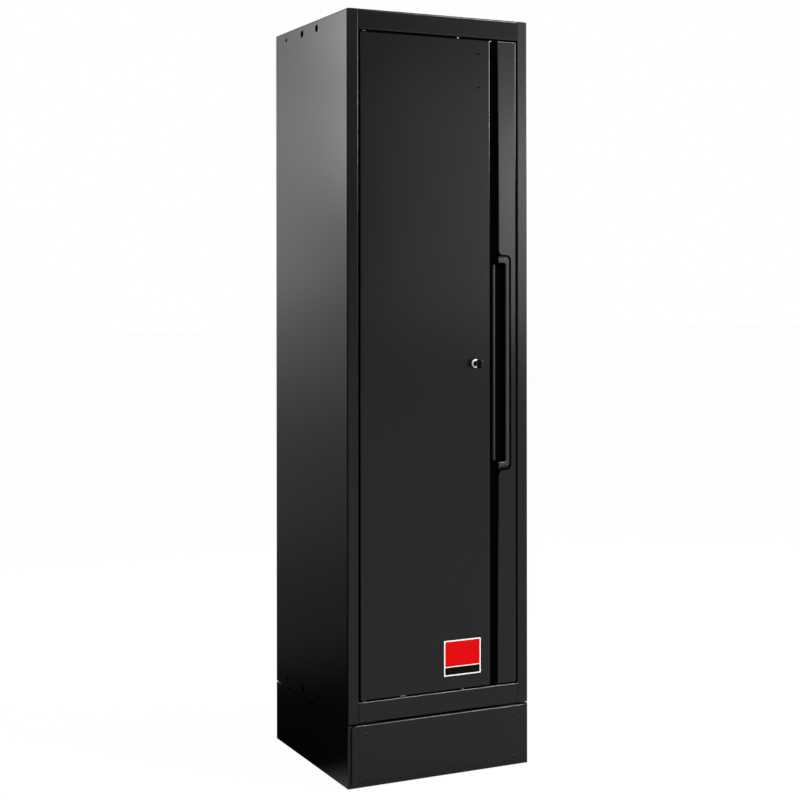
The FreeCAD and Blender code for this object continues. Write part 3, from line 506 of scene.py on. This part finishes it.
reach = 40.0
floor_mesh = bpy.data.meshes.new("studio_floor")
floor_mesh.from_pydata([(-reach, -reach, 0), (reach, -reach, 0), (reach, reach, 0), (-reach, reach, 0)],
                       [], [(0, 1, 2, 3)])
floor = bpy.data.objects.new("studio_floor", floor_mesh)
scene.collection.objects.link(floor)
floor_mesh.materials.append(floor_finish())
print("floor", 2 * reach, "m wide")

# %% [markdown]
# ## Backdrop
#
# The camera sees white all round. Mirrored rays find a round bright glow straight behind the
# locker, two dim quarters of the room and otherwise black. The glow gives the side panel its
# sheen and the black keeps the door deep. All other rays find the same dim white all round.

# %% Backdrop
back_glow, right_glow, left_glow = 1.5, 0.30, 0.12
ambient = 0.75


class Room(Paint):
    """The world's own graph, with the same methods."""

    kind = "worlds"
    output = "ShaderNodeOutputWorld"


def room_light():
    """Strength = 1 for the camera, the drawn room for mirrored rays, and ambient for the rest."""
    p = Room("studio_room")
    camera_ray, mirrored = ray_kinds(p)
    x, y = p.axis("X"), p.axis("Y")
    straight_behind = p.stretch(y, 0.88, 0.99) * back_glow
    behind_right = p.stretch(y, 0.0, 0.4) * p.stretch(x, 0.1, 0.5) * right_glow
    front_left = (1.0 - p.stretch(y, -0.4, 0.0)) * (1.0 - p.stretch(x, -0.5, -0.1)) * left_glow
    shine = straight_behind + behind_right + front_left
    rest = 1.0 - camera_ray - mirrored
    strength = camera_ray + mirrored * shine + rest * ambient
    return p.finish(p.add("ShaderNodeBackground", {}, {"Color": tone(1.0), "Strength": strength}))


scene.world = room_light()
print("world", scene.world.name)

# %% [markdown]
# ## Lamps
#
# A gloss panel shows a soft box as a blurred patch of light, so the boxes stand near the places
# that the panels mirror. Three stacked boxes at the front right light the upper half of the strip
# and the right stile and fade out over the door, and a faint wide one carries that further left.
# Five boxes behind at the left light the upper half of the side panel. A strong one far to the
# right catches the folds that turn that way, and two high ones draw the line on the plinth's
# upper fold. The fill lifts the colours from above the camera. Together they light the front
# about a quarter above the level at which a colour comes out as it is written.

# %% Lamps
def soft_box(name, place, aim, size, radiance):
    """Rectangular lamp at a place, facing a point; its power follows from the light per area."""
    lamp = bpy.data.lights.new(name, "AREA")
    lamp.shape = "RECTANGLE"
    lamp.size, lamp.size_y = size
    lamp.energy = radiance * np.pi * size[0] * size[1]
    box = bpy.data.objects.new(name, lamp)
    scene.collection.objects.link(box)
    box.location = place
    box.rotation_euler = (Vector(aim) - Vector(place)).to_track_quat("-Z", "Y").to_euler()


beside_door = (1.05, -0.25, 1.4)
side_panel = (-0.265, 0.0, 1.5)
plinth_top = (0.1, -0.26, 0.16)
tile, wide_tile, square = (0.5, 0.5), (0.6, 0.5), (0.6, 0.6)
soft_box("front_low", (2.25, -2.8, 1.35), beside_door, tile, 3.2)
soft_box("front_middle", (2.25, -2.8, 1.85), beside_door, tile, 4.9)
soft_box("front_high", (2.25, -2.8, 2.35), beside_door, tile, 1.3)
soft_box("front_glow", (1.50, -2.8, 1.70), (0.3, -0.25, 1.4), (1.0, 1.2), 0.62)
soft_box("side_near", (-2.2, 2.0, 2.0), side_panel, wide_tile, 4.7)
soft_box("side_tall", (-1.6, 2.0, 2.5), side_panel, wide_tile, 3.3)
soft_box("side_main", (-2.2, 2.6, 2.0), side_panel, wide_tile, 9.5)
soft_box("side_far", (-2.2, 3.2, 2.5), side_panel, wide_tile, 2.2)
soft_box("side_low", (-1.6, 3.2, 1.75), side_panel, (0.6, 1.0), 0.37)
soft_box("right_high", (2.8, -0.8, 2.2), (0.2, 0.0, 1.6), (1.6, 0.6), 21.0)
soft_box("overhead_front", (1.5, -2.2, 3.4), plinth_top, square, 60.0)
soft_box("overhead_right", (2.1, -1.3, 3.4), plinth_top, square, 75.0)
soft_box("front_fill", (-2.2, -3.6, 4.2), (0.0, 0.0, 0.8), (2.4, 2.4), 8.0)

# %% [markdown]
# ## Close
